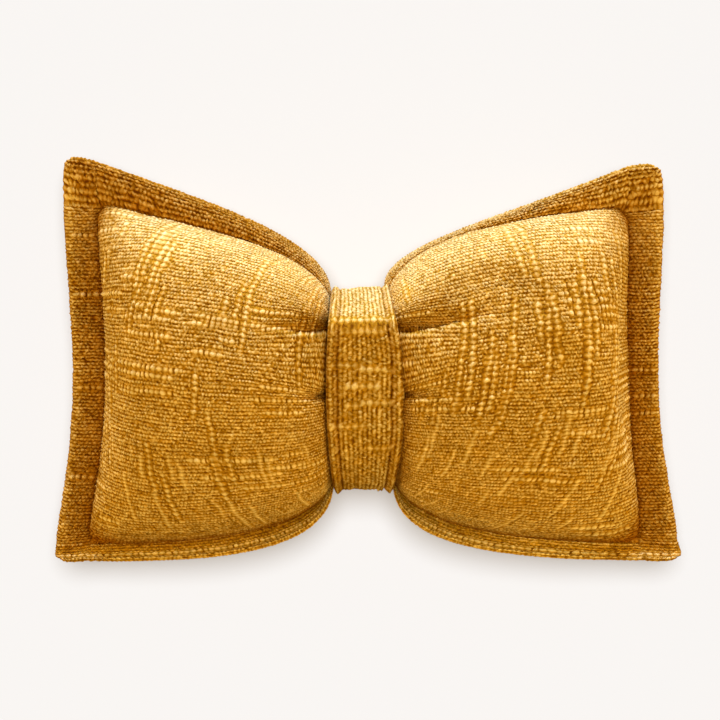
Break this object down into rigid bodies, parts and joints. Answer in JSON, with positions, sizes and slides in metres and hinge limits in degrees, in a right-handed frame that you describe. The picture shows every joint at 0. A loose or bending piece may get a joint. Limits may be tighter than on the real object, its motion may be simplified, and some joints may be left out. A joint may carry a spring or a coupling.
{
  "type": "bow-shaped pillow",
  "caption": "Filled cushion in the shape of a bow, with a sewn flange all round and a wrap band that gathers its middle.",
  "frame": {"origin": "middle of the pillow's outline, on the surface that its back lies on", "axes": "+X along the bow, +Y from its lower edge to its upper edge, +Z out of its face"},
  "size_m": [0.5022, 0.3222, 0.1312],
  "materials": {
    "cushion_cloth": "coarse slub weave",
    "band_cloth": "coarse slub weave, turned a quarter"
  },
  "bodies": {
    "root": {"cushion": "cushion_cloth", "wrap_band": "band_cloth"}
  },
  "joints": []
}
